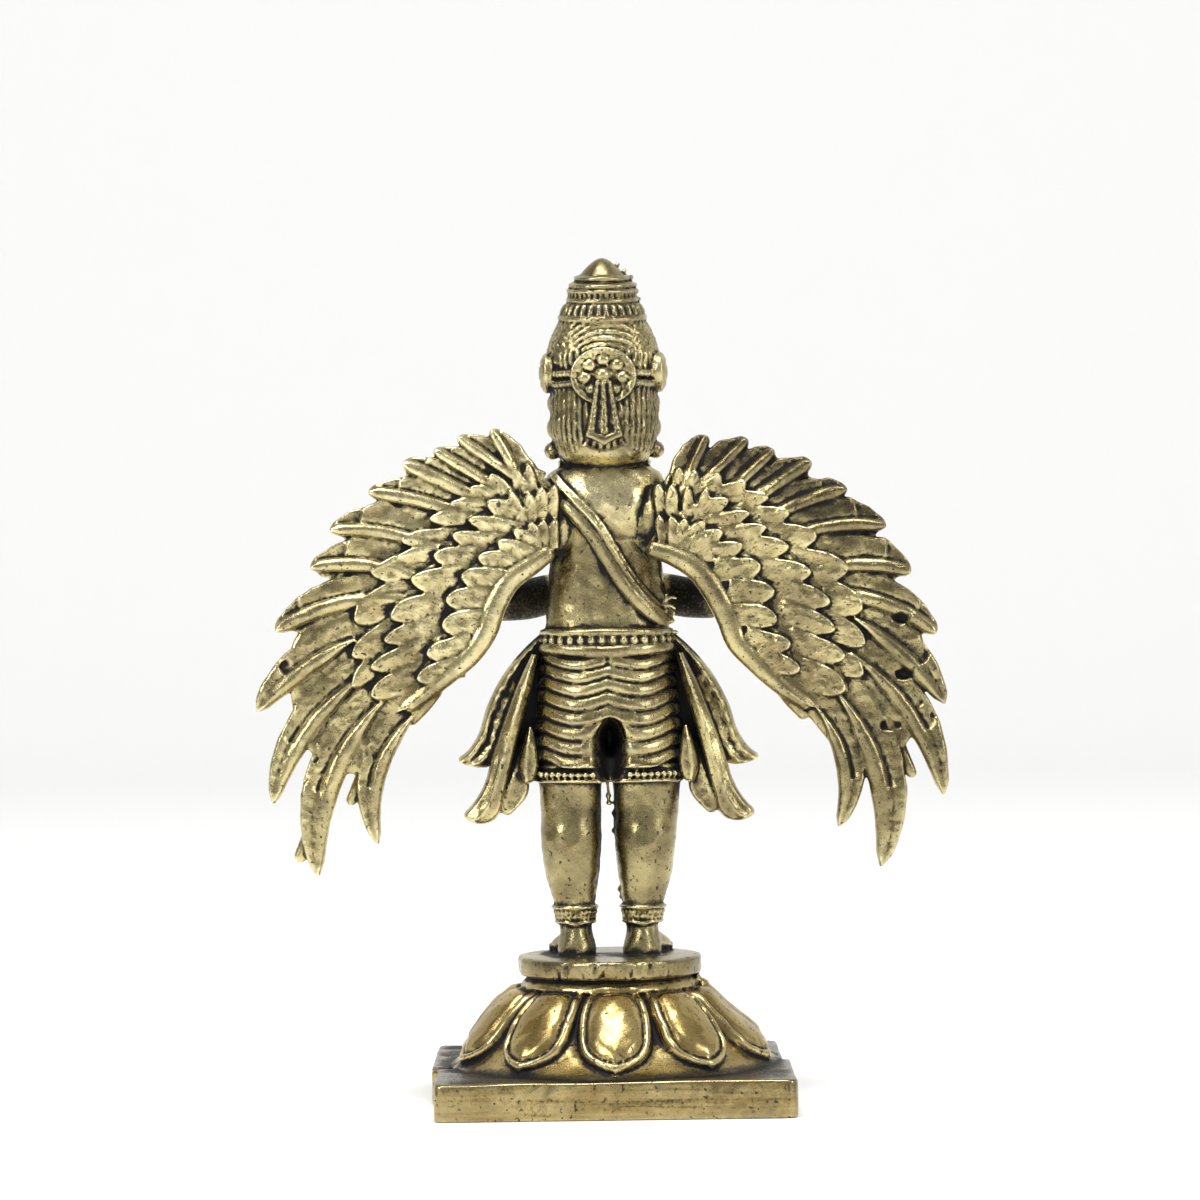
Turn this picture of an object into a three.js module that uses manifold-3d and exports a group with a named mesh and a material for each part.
// A cast brass Garuda standing on a lotus pedestal with a square plate, all one casting.
// Millimetres, +Z up, origin at the middle of the plate's underside. The figure faces -Y.
import * as THREE from "three";
import { mergeVertices } from "three/addons/utils/BufferGeometryUtils.js";
import Module from "manifold-3d";

const wasm = await Module();
wasm.setup();

// Driving dimensions of the pedestal
const plateSide = 46;
const plateThickness = 5;
const plateEdge = 0.35; // bevel along the plate's upper and lower edges
const lotusHeight = 9.9; // plate to the ring under the disc
const lotusTopRadius = 10.9;
const lotusFootRadius = 21.6;
const ringRadius = 11.2;
const ringHeight = 1.6;
const discRadius = 12.1;
const discThickness = 2.5;
const discShift = 0.5; // the disc sits this far to the figure's left of the plate's middle
const figureShift = 0.3; // and the figure this far
const petalCount = 10;
const petalHalfWidth = 4.6;
const petalRise = 1.1; // how far a petal's middle stands out of the bell
const petalThickness = 0.7; // how far its edges reach into the bell
const sink = 0.4; // pieces of the casting run this far into each other
const slack = 0.1; // slivers smaller than this are merged away when all is joined

// Driving dimensions of the figure. Everything on it is in parts: hundredths of its height
const figureHeight = 91.1; // soles to crown tip
const crownTiltDeg = 7;

// Heights of the figure's landmarks, in parts
const ankleZ = 6;
const hemZ = 25;
const beltLowZ = 43.6;
const beltHighZ = 47;
const hairLowZ = 70.3;
const wheelZ = 83.3; // middle of the wheel behind the head and of the ear wheels
const crownZ = 91.6;
const tipZ = 100;

const V = (x, y, z) => new THREE.Vector3(x, y, z);
const lerp = THREE.MathUtils.lerp;
const rad = THREE.MathUtils.degToRad;

// A three.js geometry as a manifold-3d solid, faces out whichever way it was built.
function solidOf(geometry) {
  const bare = new THREE.BufferGeometry();
  bare.setAttribute("position", geometry.getAttribute("position"));
  bare.setIndex(geometry.getIndex());
  const merged = mergeVertices(bare, 1e-4);
  const corners = merged.getIndex().array;
  const triangles = [];
  for (let i = 0; i < corners.length; i += 3) {
    const [a, b, c] = corners.slice(i, i + 3);
    if (a !== b && b !== c && c !== a) triangles.push(a, b, c);
  }
  const make = (list) =>
    new wasm.Manifold(
      new wasm.Mesh({
        numProp: 3,
        vertProperties: new Float32Array(merged.getAttribute("position").array),
        triVerts: new Uint32Array(list),
      }),
    );
  const made = make(triangles);
  return made.volume() > 0 ? made : make(triangles.reverse());
}

// A closed loft through rings of points. A ring of one point is a tip.
function loft(rings) {
  const points = [];
  const index = [];
  const starts = rings.map((ring) => {
    points.push(...ring);
    return points.length - ring.length;
  });
  for (let r = 0; r + 1 < rings.length; r++) {
    const near = rings[r].length;
    const far = rings[r + 1].length;
    for (let i = 0; i < Math.max(near, far); i++) {
      const a = starts[r] + (i % near);
      const b = starts[r] + ((i + 1) % near);
      const c = starts[r + 1] + (i % far);
      const d = starts[r + 1] + ((i + 1) % far);
      if (near > 1) index.push(a, b, d);
      if (far > 1) index.push(a, d, c);
    }
  }
  [0, rings.length - 1].forEach((r) => {
    if (rings[r].length === 1) return;
    const middle = rings[r].reduce((sum, p) => sum.add(p), V(0, 0, 0)).divideScalar(rings[r].length);
    points.push(middle);
    for (let i = 0; i < rings[r].length; i++) {
      const edge = [starts[r] + i, starts[r] + ((i + 1) % rings[r].length)];
      if (r === 0) edge.reverse();
      index.push(...edge, points.length - 1);
    }
  });
  const geometry = new THREE.BufferGeometry().setFromPoints(points);
  geometry.setIndex(index);
  return solidOf(geometry);
}

// Level sections on top of each other. A row is [z, middle x, middle y, half width, front, back].
function stack(rows, sides, shape = () => 1) {
  return loft(
    rows.map(([z, x, y, half, front, back]) =>
      Array.from({ length: sides }, (_, i) => {
        const turn = (2 * Math.PI * (i + 0.5)) / sides;
        const deep = Math.sin(turn) > 0 ? back : front;
        const share = shape(turn, z);
        return V(x + half * Math.cos(turn) * share, y + deep * Math.sin(turn) * share, z);
      }),
    ),
  );
}

// A round limb along a path. A row is [x, y, z, radius across, radius along the other way].
function limb(rows, sides, hint = V(0, 0, 1)) {
  const path = rows.map(([x, y, z]) => V(x, y, z));
  return loft(
    rows.map(([, , , across, other], r) => {
      const ahead = path[Math.min(r + 1, path.length - 1)];
      const along = ahead.clone().sub(path[Math.max(r - 1, 0)]).normalize();
      const side = along.clone().cross(hint).normalize();
      const up = side.clone().cross(along);
      return Array.from({ length: sides }, (_, i) => {
        const turn = (2 * Math.PI * (i + 0.5)) / sides;
        return path[r]
          .clone()
          .addScaledVector(side, across * Math.cos(turn))
          .addScaledVector(up, other * Math.sin(turn));
      });
    }),
  );
}

// A turned solid round the Z axis. The profile's rows are [radius, z] and run from axis to axis.
function turned(profile, sides) {
  const points = profile.map(([r, z]) => new THREE.Vector2(r, z));
  return solidOf(new THREE.LatheGeometry(points, sides).rotateX(Math.PI / 2));
}

function ball(x, y, z, radius, round = 6) {
  return solidOf(new THREE.SphereGeometry(radius, round, round - 2)).translate([x, y, z]);
}

const joined = (solids) => solids.reduce((sum, solid) => sum.add(solid));
const bothSides = (make) => [1, -1].flatMap((side) => make(side));

// The pedestal's own heights, in millimetres from the ground
const ringLowZ = plateThickness + lotusHeight;
const discLowZ = ringLowZ + ringHeight;
const soleZ = discLowZ + discThickness;

function plate() {
  const half = plateSide / 2 - plateEdge;
  const square = new THREE.Shape();
  square.moveTo(-half, -half).lineTo(half, -half).lineTo(half, half).lineTo(-half, half).closePath();
  const slab = new THREE.ExtrudeGeometry(square, {
    depth: plateThickness - 2 * plateEdge,
    bevelThickness: plateEdge,
    bevelSize: plateEdge,
    bevelSegments: 1,
  });
  return solidOf(slab.translate(0, 0, plateEdge));
}

// The lotus bell from its top to its foot: share of the way outwards, share of the height
const bellCurve = [[0, 1], [0.215, 0.827], [0.439, 0.612], [0.626, 0.367], [0.813, 0.133], [1, 0]];
const bell = bellCurve.map(([out, up]) => [
  lerp(lotusTopRadius, lotusFootRadius, out),
  plateThickness + lotusHeight * up,
]);
const roundSides = 24;

function pedestalCore() {
  const foot = plateThickness - sink;
  const lotus = turned([[0, ringLowZ], ...bell, [lotusFootRadius, foot], [0, foot]], roundSides);
  const ring = turned(
    [
      [0, discLowZ + sink],
      [ringRadius - 0.4, discLowZ],
      [ringRadius, discLowZ - 0.5],
      [ringRadius - 0.2, ringLowZ],
      [0, ringLowZ - sink],
    ],
    roundSides,
  );
  const disc = turned(
    [[0, soleZ], [discRadius, soleZ], [discRadius - 0.1, discLowZ], [0, discLowZ]],
    roundSides,
  );
  return [lotus, ...[ring, disc].map((solid) => solid.translate([discShift, 0, 0]))];
}

// One petal hangs down the bell, with a raised rim and a full middle.
// Its rows are [way down the bell, width, rise], and those of its section [share of half width, rise]
const petalHalves = [[0.02, 0.62, 1], [0.35, 0.98, 1], [0.68, 0.95, 1], [0.9, 0.46, 0.75]];
const petalSection = [[-0.93, 0.75], [-0.6, 0.35], [0, 1], [0.6, 0.35], [0.93, 0.75]];
const petalTip = [0.985, 0.7]; // way down the bell, height over it
function petal() {
  const fall = new THREE.CatmullRomCurve3(bell.map(([r, z]) => V(r, 0, z)));
  const rings = petalHalves.map(([t, width, rise]) => {
    const p = fall.getPointAt(t);
    const along = fall.getTangentAt(t);
    const at = (side, lift) => {
      const y = petalHalfWidth * width * side;
      const round = y ** 2 / (2 * p.x);
      return V(p.x - round - along.z * lift, y, p.z + along.x * lift);
    };
    const face = petalSection.map(([side, high]) => at(side, high * rise * petalRise));
    return [at(-1, -petalThickness), ...face, at(1, -petalThickness)];
  });
  const tip = fall.getPointAt(petalTip[0]);
  return loft([...rings, [V(tip.x + petalTip[1] / 2, 0, tip.z + petalTip[1])]]);
}

function pedestal() {
  const one = petal();
  const turns = Array.from({ length: petalCount }, (_, k) => 90 + (k * 360) / petalCount);
  const petals = turns.map((turn) => one.rotate([0, 0, turn]));
  return joined([plate(), ...pedestalCore(), ...petals]);
}

// Legs, from the soles up into the cloth
const legSides = 8;
function legs() {
  return bothSides((s) => {
    const rows = [
      [-sink, 4.9 * s, 1.4, 2.7, 3, 2.9],
      [1, 4.9 * s, 1.4, 2.7, 3, 2.9],
      [4, 5 * s, 1.2, 2.2, 2.6, 2.3],
      [ankleZ + 1, 5.1 * s, 1.2, 2.8, 2.9, 2.7],
      [11, 5.4 * s, 1.2, 3.7, 3.4, 3.8],
      [16, 5.5 * s, 1, 4.3, 3.7, 4.4],
      [20.5, 5.5 * s, 0.7, 4.3, 3.9, 4.1],
      [hemZ + 2, 5.5 * s, 0.5, 4.6, 4.6, 4.4],
    ];
    const foot = limb(
      [
        [5 * s, 1.6, 1.2, 1.8, 1.6],
        [5.3 * s, -2, 1.5, 2.2, 2.1],
        [6.2 * s, -5.4, 1, 2.6, 1.5],
        [6.8 * s, -8.2, 0.7, 2.2, 1.1],
      ],
      6,
    );
    const anklet = stack(
      [
        [ankleZ - 1.5, 5 * s, 1.2, 2.8, 3.1, 2.9],
        [ankleZ - 0.9, 5 * s, 1.2, 3.1, 3.3, 3.2],
        [ankleZ + 0.9, 5 * s, 1.2, 3.1, 3.3, 3.2],
        [ankleZ + 1.5, 5 * s, 1.2, 2.9, 3.1, 2.9],
      ],
      legSides,
    );
    return [stack(rows, legSides), foot, anklet];
  });
}

// The dhoti: cross folds, and a cleft that deepens towards the hem
const foldCount = 7;
const foldSwell = 0.3;
function dhoti() {
  const rows = Array.from({ length: 2 * foldCount + 1 }, (_, k) => {
    const share = k / (2 * foldCount);
    const swell = k % 2 ? foldSwell : -foldSwell;
    const half = lerp(10.8, 9.3, share) + swell;
    return [lerp(hemZ, beltLowZ, share), 0, 0.4, half, lerp(7, 6.6, share) + swell, 6.6 + swell];
  });
  const cleft = (turn, z) => {
    const depth = THREE.MathUtils.clamp((36 - z) / 11, 0, 1) * 0.6;
    return 1 - depth * Math.exp(-((Math.cos(turn) / 0.28) ** 2));
  };
  const pit = ball(0, 0, 0, 1.9).scale([0.9, 2, 1.2]).translate([0, 5.8, 31.2]);
  return stack(rows, 16, cleft).subtract(pit);
}

// Belt of two bands with a recess for its bead row between them. A row is [height on the belt, half width].
const beltRows = [
  [-0.3, 9.4], [0.3, 9.9], [1.1, 9.9], [1.4, 9.3], [2.7, 9.1], [3, 9.4], [3.4, 9.3], [3.6, 8.8],
];
const beltFront = 0.73; // its depth in front and behind, as a share of its half width
const beltBack = 0.71;
function belt() {
  const rows = beltRows.map(([up, half]) => [up, 0, 0.2, half, half * beltFront, half * beltBack]);
  return stack(rows, 16).translate([0, 0, beltLowZ]);
}

// Rows of the trunk, kept by name because the cord and the wings lie against it
const trunkRows = [
  [beltHighZ - 2, 0, 0, 8.9, 6.3, 5.4],
  [52, 0, 0, 8.5, 6.4, 5],
  [58, 0, 0, 8, 6, 5],
  [64, 0, 0, 8.4, 6, 5.6],
  [67.5, 0, 0, 8.7, 5, 5.1],
  [69.8, 0, 0, 7, 3.8, 4.2],
  [71, 0, 0, 3.6, 3, 3.2],
];
const trunk = () => stack([...trunkRows, [hairLowZ + 5, 0, 0, 3.4, 3, 3]], 14);

// Depth of the trunk's back (1) or front (-1) at a point of it
function trunkDepth(x, z, face) {
  let k = 0;
  while (k < trunkRows.length - 2 && trunkRows[k + 1][0] < z) k++;
  const [low, high] = [trunkRows[k], trunkRows[k + 1]];
  const share = THREE.MathUtils.clamp((z - low[0]) / (high[0] - low[0]), 0, 1);
  const half = lerp(low[3], high[3], share);
  const deep = face > 0 ? lerp(low[5], high[5], share) : lerp(low[4], high[4], share);
  return face * deep * Math.sqrt(Math.max(1 - (x / half) ** 2, 0.02));
}

// The cord band runs from the left shoulder to the right hip, behind and in front.
const cordLine = [
  [8.6, 68.2], [7.3, 66.4], [4.9, 63.9], [2.2, 60.9], [-0.5, 56.5], [-2.8, 52.9], [-6.4, 48.8], [-8.8, 47.2],
];
const cordHalfWidth = 1.15;
const cordRise = 0.85;
function cordBand(face) {
  const depth = ([x, z]) => trunkDepth(x, z, face) + 0.2 * face;
  const rows = cordLine.map(([x, z]) => [x, depth([x, z]), z, cordHalfWidth, cordRise]);
  return limb(rows, 6, V(0, face, 0));
}

// Upper arm, forearm and hand on one side. The palms meet in front of the chest.
function arm(s) {
  return [
    limb(
      [
        [6.6 * s, -0.3, 66.4, 2.9, 2.9],
        [10 * s, -0.8, 63.6, 3.1, 3.1],
        [13.4 * s, -2.2, 57.6, 2.8, 2.9],
        [16.2 * s, -3.9, 51.6, 2.4, 2.7],
      ],
      6,
      V(0, 1, 0),
    ),
    limb(
      [
        [17.4 * s, -3.4, 50.2, 2.1, 2.4],
        [9.4 * s, -8.4, 51.6, 2.4, 3],
        [3.6 * s, -11.8, 54, 1.6, 2.1],
        [1.5 * s, -12.6, 56, 1.3, 1.9],
      ],
      6,
    ),
    limb(
      [
        [1.3 * s, -12.3, 54.6, 1.1, 1.5],
        [0.9 * s, -13, 59.5, 1, 2],
        [0.6 * s, -13, 65, 0.75, 0.9],
      ],
      6,
      V(0, 1, 0),
    ),
  ];
}

// One cloth end beside the hips: a leaf along a bent line that turns up at its tip.
function sashEnd(line, widths, thick, depth) {
  const curve = new THREE.CatmullRomCurve3(line.map(([x, z]) => V(x, 0, z)));
  const rings = widths.map((half, k) => {
    const t = k / widths.length;
    const p = curve.getPoint(t);
    const along = curve.getTangent(t);
    const side = V(along.z, 0, -along.x);
    return [[-1, 0], [0, 1], [1, 0], [0, -1]].map(([across, deep]) =>
      p
        .clone()
        .addScaledVector(side, across * half)
        .add(V(0, depth + (deep * thick) / 2, 0)),
    );
  });
  return loft([...rings, [curve.getPoint(1).add(V(0, depth, 0))]]);
}

// The cloth sheet behind the sash ends, which closes the space between them and the dhoti
const sashSheet = [
  [8, 45], [12.6, 40.6], [16, 35], [17.6, 29.6], [17.4, 24.4], [15, 21.4], [12.6, 23], [10, 25.6], [7, 34],
];
const sheetThickness = 1.8;
function sashBacking(s) {
  const outline = new THREE.Shape(sashSheet.map(([x, z]) => new THREE.Vector2(x * s, z)));
  const sheet = new THREE.ExtrudeGeometry(outline, { depth: sheetThickness, bevelEnabled: false });
  return solidOf(sheet.rotateX(Math.PI / 2)).translate([0, sheetThickness / 2, 0]);
}

// The sash ends: outer and inner tail, the scooped flap under them and the narrow strip next to the dhoti
const sashEnds = [
  { line: [[9.1, 45.2], [13.2, 41.1], [16.3, 36], [17.6, 31.5], [19.2, 28.9], [22.6, 28.5]],
    halves: [1, 1.6, 1.8, 1.8, 1.5], thick: 2.4, depth: -1 },
  { line: [[9.8, 43.8], [12.8, 38], [14.9, 33], [17, 26.8], [18, 21.6], [21.6, 20.1]],
    halves: [0.9, 1.2, 1.1, 1.1, 1.6], thick: 2.8, depth: 2.4 },
  { line: [[10.2, 40], [11.2, 33], [12, 27], [13.2, 23], [14.9, 20.6]],
    halves: [1, 1.4, 1.6, 1.9, 1.4], thick: 3, depth: 2 },
  { line: [[9.6, 40], [10.4, 34], [11.2, 30], [11.3, 27], [10.9, 24.6]],
    halves: [0.8, 0.8, 0.9, 0.9, 0.8], thick: 3, depth: 3.4 },
];

function sashes() {
  return bothSides((s) => [
    sashBacking(s),
    ...sashEnds.map(({ line, halves, thick, depth }) =>
      sashEnd(
        line.map(([x, z]) => [x * s, z]),
        halves,
        thick,
        depth,
      ),
    ),
  ]);
}

// Wing space: x outwards from the middle of the back, z up, and h out of the wing's rear face
const wingRootX = 7;
const wingDepth = 4.6; // y of the wing's middle layer at its root
const wingSweep = 0.13; // how much further back the wing gets for each part outwards
const wingPoint = (side, x, z, h) => V(x * side, wingDepth + wingSweep * (x - wingRootX) + h, z);
const curveOf = (line) => new THREE.CatmullRomCurve3(line.map(([x, z]) => V(x, 0, z)));

// Inner edge of the wing, from its rounded start on the back down to its lowest coverts
const armLine = [
  [6.3, 58.7], [8.6, 57.1], [12.3, 54.4], [14.7, 50.9], [16.1, 46.4], [19.2, 42.9], [25, 38], [30.6, 34.3],
];

// Flight feathers from the top one to the lowest: start of the quill line and its bow outwards
const quills = [
  [10.5, 65.4, 0], [13.3, 65.4, 0], [15.3, 63.7, 0], [18.1, 63.6, 0.02],
  [19.5, 60.5, 0.04], [21.6, 58.6, 0.05], [25, 56.4, 0.05], [26.4, 55, 0.05],
  [28, 53, 0.04], [29.5, 47.5, 0.07], [28.3, 44.2, 0.09], [26.2, 40, 0.13],
];
const quillWidths = [2.4, 2.4, 2.5, 2.6, 2.6, 2.7, 2.8, 3, 3.2, 3.3, 3.7, 3];
// Their tips, on the figure's left wing and on its right one
const leftTips = [
  [16.1, 75.5], [20.9, 74.4], [24.3, 72.6], [28.7, 70.8], [33.6, 66.7], [39.1, 61.4],
  [41.9, 56.1], [46.9, 47.2], [49.7, 35.8], [47.5, 22.7], [41.3, 12.3], [32.8, 16.7],
];
const rightTips = [
  [14.6, 74.2], [20.4, 73.6], [24.1, 72], [29.4, 70.2], [34.4, 66.2], [39.8, 60.9],
  [43.2, 54.3], [46.6, 45.6], [47.7, 35.6], [47.3, 22.7], [38.3, 12.6], [32.4, 18.3],
];

// A feather: sections along a bent line. A section's rows are [share of the width outwards, height].
function feather(side, root, bend, tip, spans, section) {
  const line = new THREE.QuadraticBezierCurve3(root, bend, tip);
  const rings = spans.map(([t, width, fall]) => {
    const p = line.getPoint(t);
    const along = line.getTangent(t);
    const across = V(-along.z, 0, along.x);
    return section.map(([out, high]) => {
      const q = p.clone().addScaledVector(across, out * width);
      return wingPoint(side, q.x, q.z, high * fall);
    });
  });
  return loft([...rings, [wingPoint(side, tip.x, tip.z, 0)]]);
}

// Blade, step and web of a flight feather, and its back. Then its width and height along its length
const flightSection = [[-0.35, -0.1], [0, 1.1], [0.45, 0.3], [1, -0.2], [0.3, -1.1]];
const flightSpans = [[0, 1.2, 1], [0.5, 1.45, 1], [0.86, 0.85, 0.9]];

function flightFeathers(side) {
  const tips = side > 0 ? leftTips : rightTips;
  return quills.map(([x, z, bow], k) => {
    const root = V(x, 0, z);
    const tip = V(tips[k][0], 0, tips[k][1]);
    const along = tip.clone().sub(root);
    const bend = root.clone().lerp(tip, 0.5).add(V(-along.z, 0, along.x).multiplyScalar(2 * bow));
    const spans = flightSpans.map(([t, width, fall]) => [t, width * quillWidths[k], fall]);
    return feather(side, root, bend, tip, spans, flightSection);
  });
}

// Rows of coverts, outermost first: the line of their tips, how many, their length and height
const outerTips = [
  [8.2, 69.6], [10.8, 70], [16.4, 68.9], [22.5, 65.1], [29.3, 59.6], [33.8, 54.8], [36, 48.7], [36, 39],
];
const middleTips = [
  [7.9, 67.4], [10.6, 67], [14, 66.6], [20, 62.8], [25.3, 57.8], [28.4, 54.2],
  [31.2, 49], [33.5, 41], [33.4, 36.6],
];
const innerTips = [
  [7.7, 63.4], [12, 61.9], [16.1, 60], [21.3, 55], [23.5, 50], [25.8, 43.9], [28.4, 39.4], [31.2, 36],
];
const covertRows = [
  { tips: outerTips, count: 12, long: 9, high: 1.5 },
  { tips: middleTips, count: 13, long: 8, high: 2.1 },
  { tips: innerTips, count: 12, long: 7, high: 2.7 },
];
const covertTurn = [80, -42]; // direction of the first and last covert of a row, in degrees
const covertNotch = 1.5; // how far back the notch between two coverts reaches
const covertStart = 0.5; // the first coverts, over the shoulder, are this much shorter
const covertFoot = 0.6; // how far a row reaches down into the wing

// One row of coverts: a strip whose outer edge runs in and out over the feathers' tips.
function covertRow(side, { tips, count, long, high }) {
  const line = curveOf(tips);
  const rings = Array.from({ length: 2 * count - 1 }, (_, j) => {
    const low = j / (2 * count - 2);
    const turn = rad(lerp(...covertTurn, low ** 0.7));
    const along = V(Math.cos(turn), 0, Math.sin(turn));
    const notch = j % 2;
    const outer = line.getPointAt(low).addScaledVector(along, -covertNotch * notch);
    const inner = line.getPointAt(low).addScaledVector(along, -long * Math.min(1, covertStart + 2 * low));
    const section = [[inner, -covertFoot], [inner, high], [outer, high], [outer, -covertFoot]];
    return section.map(([p, h]) => wingPoint(side, p.x, p.z, h));
  });
  return loft(rings);
}

// The slab under the coverts and the rounded roll along the wing's inner edge
const rollRadii = [0.7, 1.1, 1.1, 1.2, 1.3, 1.2, 1, 0.6];
function wingBody(side) {
  const inner = curveOf(armLine).getPoints(8);
  const outer = curveOf(covertRows[0].tips).getPoints(8).reverse();
  const rim = [...inner, ...outer];
  const middle = rim.reduce((sum, p) => sum.add(p), V(0, 0, 0)).divideScalar(rim.length);
  const pulled = rim.map((p) => p.clone().lerp(middle, 0.06));
  const slab = loft([
    pulled.map((p) => wingPoint(side, p.x, p.z, -1.1)),
    pulled.map((p) => wingPoint(side, p.x, p.z, 1)),
  ]);
  const roll = limb(
    armLine.map(([x, z], k) => {
      const p = wingPoint(side, x, z, k ? 0.7 : -0.2);
      return [p.x, p.y, p.z, rollRadii[k], rollRadii[k] + 0.5];
    }),
    6,
    V(0, 1, 0),
  );
  const root = limb(
    [
      [4.6 * side, 1.4, 62.4, 2.4, 4.4],
      [9.4 * side, 3.2, 62, 2, 4.2],
      [13 * side, 4.4, 61, 1, 3],
    ],
    8,
  );
  return [slab, roll, root];
}

const coverts = (side) => covertRows.map((row) => covertRow(side, row));
const wings = () => bothSides((side) => [...wingBody(side), ...flightFeathers(side), ...coverts(side)]);

// Head: hair mass behind, face in front
function hair() {
  const rows = [
    [hairLowZ, 0, 1.6, 5.2, 3.4, 3.8],
    [hairLowZ + 1.2, 0, 1.4, 6.8, 4.4, 5],
    [74, 0, 1.2, 7.5, 4.6, 5.7],
    [82, 0, 0.8, 7.6, 4.8, 6],
    [87, 0, 0.5, 8.1, 6, 6.1],
    [crownZ + 0.4, 0, 0.4, 6.5, 5.8, 5.8],
  ];
  return stack(rows, 14);
}

function face() {
  const shape = stack(
    [
      [72.2, 0, -2.4, 2.4, 2.6, 3],
      [73.6, 0, -2.2, 4, 3.7, 3],
      [77, 0, -1.8, 5.4, 4.3, 3],
      [86, 0, -1.4, 5.8, 4.5, 3],
    ],
    10,
  );
  const beak = limb(
    [
      [0, -5, 82.4, 0.7, 0.7],
      [0, -6.8, 80.4, 1.1, 1.1],
      [0, -8, 78.6, 1, 1.1],
      [0, -8.1, 77.2, 0.4, 0.4],
    ],
    6,
    V(1, 0, 0),
  );
  const eyes = bothSides((s) => [ball(0, 0, 0, 1).scale([1.3, 0.7, 0.6]).translate([2.5 * s, -5.3, 81])]);
  return [shape, beak, ...eyes];
}

// The wheel behind the head with its hanging tassel, and the ear wheels with their bands
function headOrnaments() {
  const wheel = (radius, thick, sides) => {
    const dish = [[0, 0.6], [0.7, 0.6], [0.8, 1], [1, 0.8], [1, -1], [0, -1]];
    const profile = dish.map(([out, up]) => [out * radius, up * thick]);
    return turned(profile, sides);
  };
  const backWheel = wheel(4.7, 0.9, 12).rotate([-90, 0, 0]).scale([1, 1, 0.88]).translate([0, 6.9, wheelZ]);
  const tassel = stack(
    [
      [73.4, 0, 6.6, 1.2, 0.8, 1.2],
      [74.4, 0, 6.6, 2.6, 0.8, 1.3],
      [83.4, 0, 7, 1.1, 0.8, 1.5],
      [84.4, 0, 7, 0.7, 0.8, 1.2],
    ],
    6,
  );
  const sides = bothSides((s) => [
    wheel(3, 1.2, 8).rotate([0, 90 * s, 0]).translate([8.2 * s, 0.4, wheelZ + 0.6]),
    limb([[7 * s, 3, wheelZ + 1.1, 0.5, 0.6], [3 * s, 6.7, wheelZ + 1.1, 0.5, 0.6]], 4),
    limb([[7 * s, 3, wheelZ - 0.3, 0.5, 0.6], [3 * s, 6.7, wheelZ - 0.3, 0.5, 0.6]], 4),
    ball(7 * s, 0.6, hairLowZ + 2.2, 1.3),
  ]);
  return [backWheel, tassel, ...sides];
}

function crown() {
  const profile = [[0, -1.5], [5.9, -1.5], [6.2, 0], [6.1, 0.5], [5.1, 2.2], [5, 4], [4.2, 4.2], [4.7, 4.9],
    [3.9, 5.2], [4.2, 5.8], [3.3, 6.3], [1.1, 8], [0, 8.4]];
  return turned(profile, 12).rotate([-crownTiltDeg, 0, 0]).translate([0, 0.3, crownZ]);
}

function necklace() {
  const rows = Array.from({ length: 7 }, (_, k) => {
    const turn = lerp(-0.1, 1.1, k / 6) * Math.PI;
    return [5.2 * Math.cos(turn), -1 - 4.9 * Math.sin(turn), 69.6 - 3.4 * Math.sin(turn), 0.8, 0.8];
  });
  return limb(rows, 5);
}

function figure() {
  const body = [trunk(), dhoti(), belt(), ...legs(), ...sashes(), ...bothSides(arm)];
  const dress = [cordBand(1), cordBand(-1), necklace()];
  const head = [hair(), ...face(), crown(), ...headOrnaments()];
  const whole = joined([...body, ...dress, ...head, ...wings()]);
  const part = figureHeight / tipZ;
  return whole.scale([part, part, part]).translate([figureShift, 0, soleZ]);
}

const brass = new THREE.MeshStandardMaterial({ color: 0x9c8247, roughness: 0.42, metalness: 1 });

function meshOf(name, solid) {
  const made = solid.getMesh();
  const geometry = new THREE.BufferGeometry();
  geometry.setAttribute("position", new THREE.BufferAttribute(made.vertProperties, 3));
  geometry.setIndex(new THREE.BufferAttribute(made.triVerts, 1));
  geometry.computeVertexNormals();
  const mesh = new THREE.Mesh(geometry, brass);
  mesh.name = name;
  return mesh;
}

const statue = new THREE.Group();
// The outer shell alone: whatever hollows the crossing feathers enclose are cast solid.
const shells = pedestal().add(figure()).simplify(slack).decompose();
const outer = shells.reduce((most, shell) => (shell.volume() > most.volume() ? shell : most));
statue.add(meshOf("garuda_figure", outer));

export default statue;
